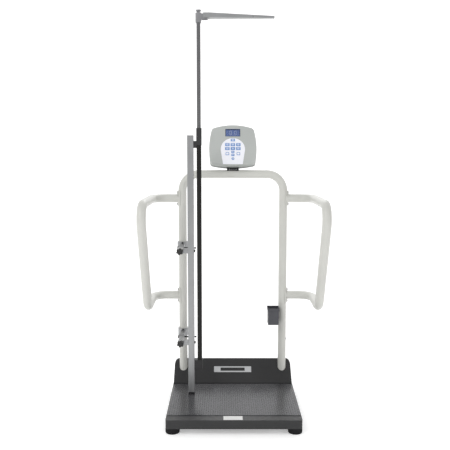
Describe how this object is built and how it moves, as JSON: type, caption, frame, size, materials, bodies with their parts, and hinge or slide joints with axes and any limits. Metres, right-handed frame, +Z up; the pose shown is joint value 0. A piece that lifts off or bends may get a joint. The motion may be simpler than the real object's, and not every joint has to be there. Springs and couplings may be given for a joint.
{
  "type": "digital physician scale",
  "caption": "Digital floor scale with a wide handrail frame, a tilting indicator head and a telescoping height rod with a folding arm.",
  "frame": {"origin": "on the floor under the middle of the bounding box", "axes": "+Z up, the front of the deck faces -Y, +X to the right seen from the front"},
  "size_m": [0.858, 0.6479, 1.914],
  "materials": {
    "housing_black": "fine textured powder coat",
    "tread": "raised tread pattern",
    "label_white": "printed film",
    "panel_white": "printed film",
    "steel_dark": "plain",
    "aluminium": "satin",
    "foot_rubber": "moulded",
    "plate_silver": "satin",
    "fastener": "machined",
    "board_green": "solder mask",
    "frame_white": "powder coat",
    "pocket_grey": "grained",
    "trim_black": "grained",
    "rod_black": "satin",
    "slider_metal": "satin",
    "head_grey_metal": "satin",
    "knob_black": "moulded",
    "shell_grey": "fine grain",
    "shell_rear": "fine grain",
    "lens": "clear",
    "lcd_blue": "display",
    "key_blue": "film",
    "cell_wrap": "wrap"
  },
  "bodies": {
    "stand": {"platform_cover": "housing_black", "tread_plate": "tread", "front_label": "label_white", "base_frame": "steel_dark", "load_cells": "aluminium", "rear_housing": "housing_black", "name_plate": "plate_silver", "housing_screws": "fastener", "post_sockets": "steel_dark", "socket_bolts": "fastener", "summing_board": "board_green", "frame_tube": "frame_white", "left_rail": "frame_white", "right_rail": "frame_white", "rail_screws": "fastener", "pocket": "pocket_grey", "pocket_brackets": "trim_black", "display_saddle": "trim_black", "tilt_pin": "fastener", "mast": "aluminium", "mast_caps": "trim_black", "rod_tube": "rod_black", "rod_collar": "trim_black", "rod_brackets": "trim_black", "clamp_arms": "aluminium", "clamp_bolts": "trim_black"},
    "display": {"tilt_yoke": "trim_black", "head_front_shell": "shell_grey", "head_rear_shell": "shell_rear", "screen_lens": "lens", "lcd_panel": "lcd_blue", "keypad_overlay": "panel_white", "circuit_board": "board_green", "battery_door": "shell_rear", "battery_cells": "cell_wrap", "head_screws": "fastener"},
    "slider": {"rod_slider": "slider_metal", "head_block": "head_grey_metal", "slider_cap": "head_grey_metal", "arm_pin": "fastener"},
    "arm": {"head_arm": "aluminium"},
    "knob_upper": {"upper_knob": "knob_black"},
    "knob_lower": {"lower_knob": "knob_black"},
    "foot_front_left_body": {"foot_front_left": "foot_rubber"},
    "foot_front_right_body": {"foot_front_right": "foot_rubber"},
    "foot_rear_left_body": {"foot_rear_left": "foot_rubber"},
    "foot_rear_right_body": {"foot_rear_right": "foot_rubber"},
    "key_units_body": {"key_units": "key_blue"},
    "key_hold_body": {"key_hold": "key_blue"},
    "key_index_body": {"key_index": "key_blue"},
    "key_recall_body": {"key_recall": "key_blue"},
    "key_tare_body": {"key_tare": "key_blue"},
    "key_zero_body": {"key_zero": "key_blue"},
    "key_print_body": {"key_print": "key_blue"},
    "key_up_body": {"key_up": "key_blue"},
    "key_down_body": {"key_down": "key_blue"},
    "key_clear_body": {"key_clear": "key_blue"},
    "key_enter_body": {"key_enter": "key_blue"},
    "key_power_body": {"key_power": "key_blue"}
  },
  "joints": [
    {"name": "rod_slide", "type": "slide", "parent": "stand", "child": "slider", "axis": [0, 0, 1], "range_m": [-0.48, 0.26]},
    {"name": "arm_fold", "type": "hinge", "parent": "slider", "child": "arm", "pos_m": [-0.136, 0.0085, 1.884], "axis": [0, 1, 0], "range_deg": [0, 90]},
    {"name": "display_tilt", "type": "hinge", "parent": "stand", "child": "display", "pos_m": [0, 0.215, 1.17415], "axis": [-1, 0, 0], "range_deg": [-25, 15]},
    {"name": "upper_knob_turn", "type": "hinge", "parent": "stand", "child": "knob_upper", "pos_m": [-0.258, -0.0115, 0.781], "axis": [0, -1, 0], "range_deg": [0, 360]},
    {"name": "lower_knob_turn", "type": "hinge", "parent": "stand", "child": "knob_lower", "pos_m": [-0.258, -0.0115, 0.326], "axis": [0, -1, 0], "range_deg": [0, 360]},
    {"name": "foot_front_left_level", "type": "slide", "parent": "stand", "child": "foot_front_left_body", "axis": [0, 0, -1], "range_m": [0, 0.008]},
    {"name": "foot_front_right_level", "type": "slide", "parent": "stand", "child": "foot_front_right_body", "axis": [0, 0, -1], "range_m": [0, 0.008]},
    {"name": "foot_rear_left_level", "type": "slide", "parent": "stand", "child": "foot_rear_left_body", "axis": [0, 0, -1], "range_m": [0, 0.008]},
    {"name": "foot_rear_right_level", "type": "slide", "parent": "stand", "child": "foot_rear_right_body", "axis": [0, 0, -1], "range_m": [0, 0.008]},
    {"name": "key_units_press", "type": "slide", "parent": "display", "child": "key_units_body", "axis": [0, 0.9063, -0.4226], "range_m": [0, 0.0012], "stiffness_N_per_m": 300},
    {"name": "key_hold_press", "type": "slide", "parent": "display", "child": "key_hold_body", "axis": [0, 0.9063, -0.4226], "range_m": [0, 0.0012], "stiffness_N_per_m": 300},
    {"name": "key_index_press", "type": "slide", "parent": "display", "child": "key_index_body", "axis": [0, 0.9063, -0.4226], "range_m": [0, 0.0012], "stiffness_N_per_m": 300},
    {"name": "key_recall_press", "type": "slide", "parent": "display", "child": "key_recall_body", "axis": [0, 0.9063, -0.4226], "range_m": [0, 0.0012], "stiffness_N_per_m": 300},
    {"name": "key_tare_press", "type": "slide", "parent": "display", "child": "key_tare_body", "axis": [0, 0.9063, -0.4226], "range_m": [0, 0.0012], "stiffness_N_per_m": 300},
    {"name": "key_zero_press", "type": "slide", "parent": "display", "child": "key_zero_body", "axis": [0, 0.9063, -0.4226], "range_m": [0, 0.0012], "stiffness_N_per_m": 300},
    {"name": "key_print_press", "type": "slide", "parent": "display", "child": "key_print_body", "axis": [0, 0.9063, -0.4226], "range_m": [0, 0.0012], "stiffness_N_per_m": 300},
    {"name": "key_up_press", "type": "slide", "parent": "display", "child": "key_up_body", "axis": [0, 0.9063, -0.4226], "range_m": [0, 0.0012], "stiffness_N_per_m": 300},
    {"name": "key_down_press", "type": "slide", "parent": "display", "child": "key_down_body", "axis": [0, 0.9063, -0.4226], "range_m": [0, 0.0012], "stiffness_N_per_m": 300},
    {"name": "key_clear_press", "type": "slide", "parent": "display", "child": "key_clear_body", "axis": [0, 0.9063, -0.4226], "range_m": [0, 0.0012], "stiffness_N_per_m": 300},
    {"name": "key_enter_press", "type": "slide", "parent": "display", "child": "key_enter_body", "axis": [0, 0.9063, -0.4226], "range_m": [0, 0.0012], "stiffness_N_per_m": 300},
    {"name": "key_power_press", "type": "slide", "parent": "display", "child": "key_power_body", "axis": [0, 0.9063, -0.4226], "range_m": [0, 0.0012], "stiffness_N_per_m": 300}
  ]
}
